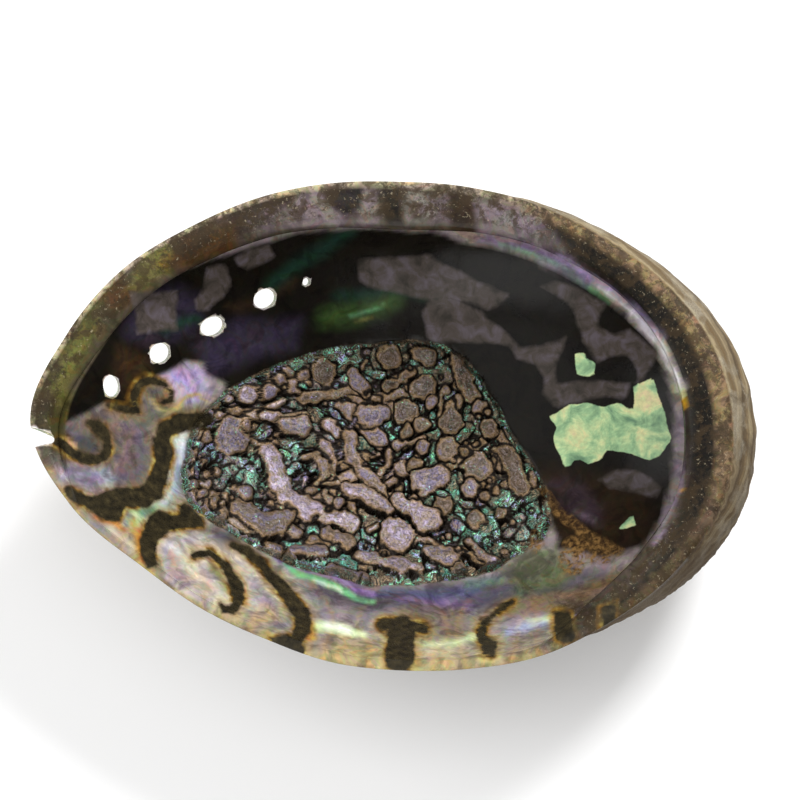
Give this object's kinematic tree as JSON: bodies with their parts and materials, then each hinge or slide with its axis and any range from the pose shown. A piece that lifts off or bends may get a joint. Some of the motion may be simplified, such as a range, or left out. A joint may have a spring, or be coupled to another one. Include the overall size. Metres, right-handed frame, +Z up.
{
  "type": "abalone shell",
  "caption": "Natural abalone shell lying open side up: an ear-shaped nacre bowl with a back ledge, a rough muscle scar and a row of breathing holes.",
  "frame": {"origin": "under the middle of the shell's box, on the surface it rests on", "axes": "+X from the front tip with the notch to the spire end, +Y from the thin lip to the ledge, +Z up out of the bowl"},
  "size_m": [0.1496, 0.1052, 0.0404],
  "materials": {
    "nacre": "gloss"
  },
  "bodies": {
    "root": {"abalone_shell": "nacre"}
  },
  "joints": []
}
